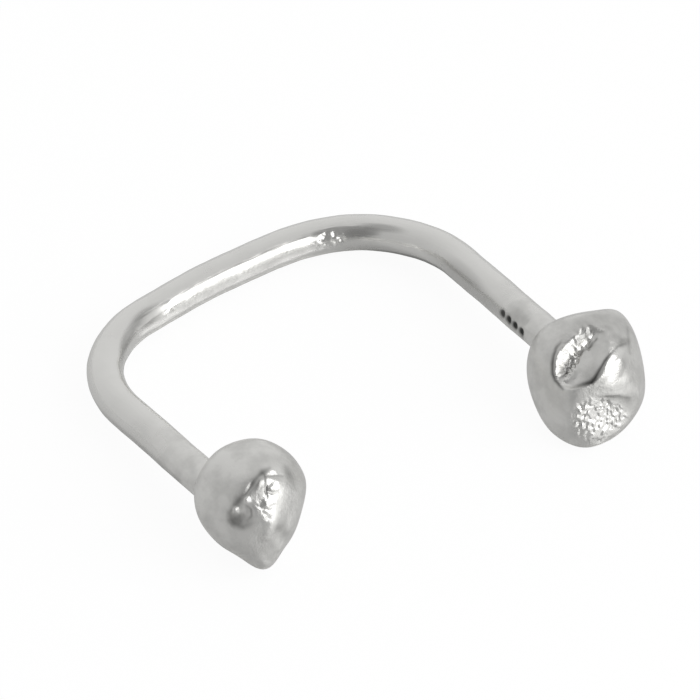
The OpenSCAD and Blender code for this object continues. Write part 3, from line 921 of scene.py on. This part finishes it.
# %% Grain the silver
# Cells to the metre: the coarse ones are a quarter and the fine ones a tenth of a millimetre wide.
# The places in the wire's grain are in millimetres, so their scale is a thousandth of the object's
COARSE_GRAIN = 4200.0
FINE_GRAIN = 11000.0
FINE_SHARE = 0.3
GRAIN_DEEP = 0.000028
wire = stored(tree, "wire", "Vector")
grains = []
for where, unit_size in ((wire, MM), (place, 1.0)):
    coarse = noise(tree, where, COARSE_GRAIN * unit_size, detail=2.0, roughness=0.5)
    fine = noise(tree, where, FINE_GRAIN * unit_size, detail=1.0, roughness=0.5)
    grains.append(mix(tree, "FLOAT", FINE_SHARE, coarse, fine))
grain = mix(tree, "FLOAT", cast, *grains)
bump = add(tree, "ShaderNodeBump", Strength=1.0, Distance=GRAIN_DEEP, Height=grain)
feed(tree, shader.inputs["Normal"], bump.outputs["Normal"])
mesh.materials.append(silver)
print("satin silver nodes:", len(tree.nodes))

# %% [markdown]
# The ring lies on a large pale sheet. The camera should see it nearly white with only a breath of
# shadow. The silver should see a greyer sheet, with a slight glow and a strong gloss, that is darker
# in the ring's own shadow, because that is what gives the undersides their grey. A Light Path node
# tells camera rays from all others, and the sheet answers each in its own way.

# %% Set up the table
SHEET = 1.5
SEEN_CLOTH = (0.95, 0.95, 0.95, 1.0)
SEEN_GLOW = 1.05
SEEN_GLOW_SHARE = 0.88
MIRRORED_CLOTH = (0.31, 0.31, 0.31, 1.0)
MIRRORED_GLOW = 0.28
# The gloss follows the Fresnel law, and a higher index of refraction makes it stronger
GLOSS_INDEX = 4.0
GLOSS_ROUGHNESS = 0.2
WHITE = (1.0, 1.0, 1.0, 1.0)
sheet_mesh = bpy.data.meshes.new("table")
sheet_mesh.from_pydata(
    [(-SHEET, -SHEET, 0), (SHEET, -SHEET, 0), (SHEET, SHEET, 0), (-SHEET, SHEET, 0)],
    [], [(0, 1, 2, 3)])
sheet = bpy.data.objects.new("table", sheet_mesh)
bpy.context.scene.collection.objects.link(sheet)
paper = bpy.data.materials.new("pale_sheet")
paper.use_nodes = True
tree = paper.node_tree
tree.nodes.clear()
seen_cloth = work(tree, "ShaderNodeBsdfDiffuse", {}, SEEN_CLOTH)
seen_glow = work(tree, "ShaderNodeEmission", {}, WHITE, SEEN_GLOW)
seen_sheet = work(tree, "ShaderNodeMixShader", {}, SEEN_GLOW_SHARE, seen_cloth, seen_glow)
mirrored_cloth = work(tree, "ShaderNodeBsdfDiffuse", {}, MIRRORED_CLOTH)
mirrored_glow = work(tree, "ShaderNodeEmission", {}, WHITE, MIRRORED_GLOW)
mirrored_both = work(tree, "ShaderNodeAddShader", {}, mirrored_cloth, mirrored_glow)
gloss = work(tree, "ShaderNodeBsdfGlossy", {}, WHITE, GLOSS_ROUGHNESS)
gloss_share = work(tree, "ShaderNodeFresnel", {}, GLOSS_INDEX)
mirrored_sheet = work(tree, "ShaderNodeMixShader", {}, gloss_share, mirrored_both, gloss)
by_camera = add(tree, "ShaderNodeLightPath").outputs["Is Camera Ray"]
either = work(tree, "ShaderNodeMixShader", {}, by_camera, mirrored_sheet, seen_sheet)
add(tree, "ShaderNodeOutputMaterial", Surface=either)
sheet_mesh.materials.append(paper)
print("sheet nodes:", len(tree.nodes))

# %% [markdown]
# Silver shows what stands round it, so the studio matters as much as the metal. It is a grey tent,
# brighter towards the back right, with a dim opening on the camera's side, and one strong softbox
# to the camera's right. The tent is the world: a few dot products of the direction give its shades.

# %% Hang the tent
TENT_MIDDLE = 0.56
TENT_SLOPE = 0.12
BRIGHTER_WAY = (0.75, 0.65, 0.0)
OPENING_SHADE = 0.27
OPENING_WIDE = 0.50
OPENING_TALL = 0.78
# The opening is an oval that ends at the squared distance 1 and fades from this one on
OPENING_FADES = 0.56
# It is on the camera's side alone: it ends where a direction has no part towards the camera, and
# fades over this much of that part to either side
BEHIND_FADES = 0.1
world = bpy.data.worlds.new("tent")
bpy.context.scene.world = world
world.use_nodes = True
tree = world.node_tree
ray_way = add(tree, "ShaderNodeTexCoord").outputs["Generated"]


def part_along(direction, scale):
    """The part of the ray's direction along a vector, times a scale."""
    node = add(tree, "ShaderNodeVectorMath", {"operation": "DOT_PRODUCT"})
    feed(tree, node.inputs[0], ray_way)
    feed(tree, node.inputs[1], tuple(np.array(direction) * scale))
    return node.outputs["Value"]


shade = reckon(tree, "ADD", part_along(BRIGHTER_WAY, TENT_SLOPE), TENT_MIDDLE)
aside = part_along(RIGHTWARD, 1 / OPENING_WIDE)
above = part_along(UPWARD, 1 / OPENING_TALL)
aside_squared = reckon(tree, "MULTIPLY", aside, aside)
squares = reckon(tree, "MULTIPLY_ADD", above, above, aside_squared)
outside = spread(tree, squares, OPENING_FADES, 1.0, steps="SMOOTHSTEP")
behind = spread(tree, part_along(TOWARD, 1.0), BEHIND_FADES, -BEHIND_FADES, steps="SMOOTHSTEP")
tent_share = reckon(tree, "MAXIMUM", outside, behind)
tone = mix(tree, "FLOAT", tent_share, OPENING_SHADE, shade)
background = tree.nodes["Background"]
feed(tree, background.inputs["Color"], tone)
white = add(tree, "ShaderNodeBackground", Color=WHITE).outputs[0]
by_camera = add(tree, "ShaderNodeLightPath").outputs["Is Camera Ray"]
either = work(tree, "ShaderNodeMixShader", {}, by_camera, background.outputs[0], white)
feed(tree, tree.nodes["World Output"].inputs["Surface"], either)
bpy.context.scene.view_settings.view_transform = "Standard"
print("tent nodes:", len(tree.nodes))


# %% Stand the softbox
def panel(name, azimuth, elevation, distance, width, height, strength):
    """A flat white card that faces the ring: seen in its gloss, and not by the camera.

    It stands at the distance, turned to the right of the front by the azimuth and raised by the
    elevation, in degrees. Its sizes are in metres."""
    turn = np.radians(azimuth)
    rise = np.radians(elevation)
    level = np.array([np.sin(turn), -np.cos(turn), 0.0])
    centre = distance * (np.cos(rise) * level + np.sin(rise) * np.array([0.0, 0.0, 1.0]))
    across = width / 2
    up = height / 2
    card = bpy.data.meshes.new(name)
    card.from_pydata(
        [(-across, -up, 0), (across, -up, 0), (across, up, 0), (-across, up, 0)],
        [], [(0, 1, 2, 3)])
    thing = bpy.data.objects.new(name, card)
    bpy.context.scene.collection.objects.link(thing)
    thing.location = Vector(centre)
    thing.rotation_mode = "QUATERNION"
    thing.rotation_quaternion = Vector(centre).to_track_quat("Z", "Y")
    material = bpy.data.materials.new(name)
    material.use_nodes = True
    tree = material.node_tree
    tree.nodes.clear()
    glow = work(tree, "ShaderNodeEmission", {}, WHITE, strength)
    add(tree, "ShaderNodeOutputMaterial", Surface=glow)
    card.materials.append(material)
    thing.visible_camera = False
    return thing


softbox = panel(
    "softbox", azimuth=30, elevation=24, distance=0.6, width=0.67, height=0.60, strength=1.8)
print("softbox at", [round(x, 2) for x in softbox.location])
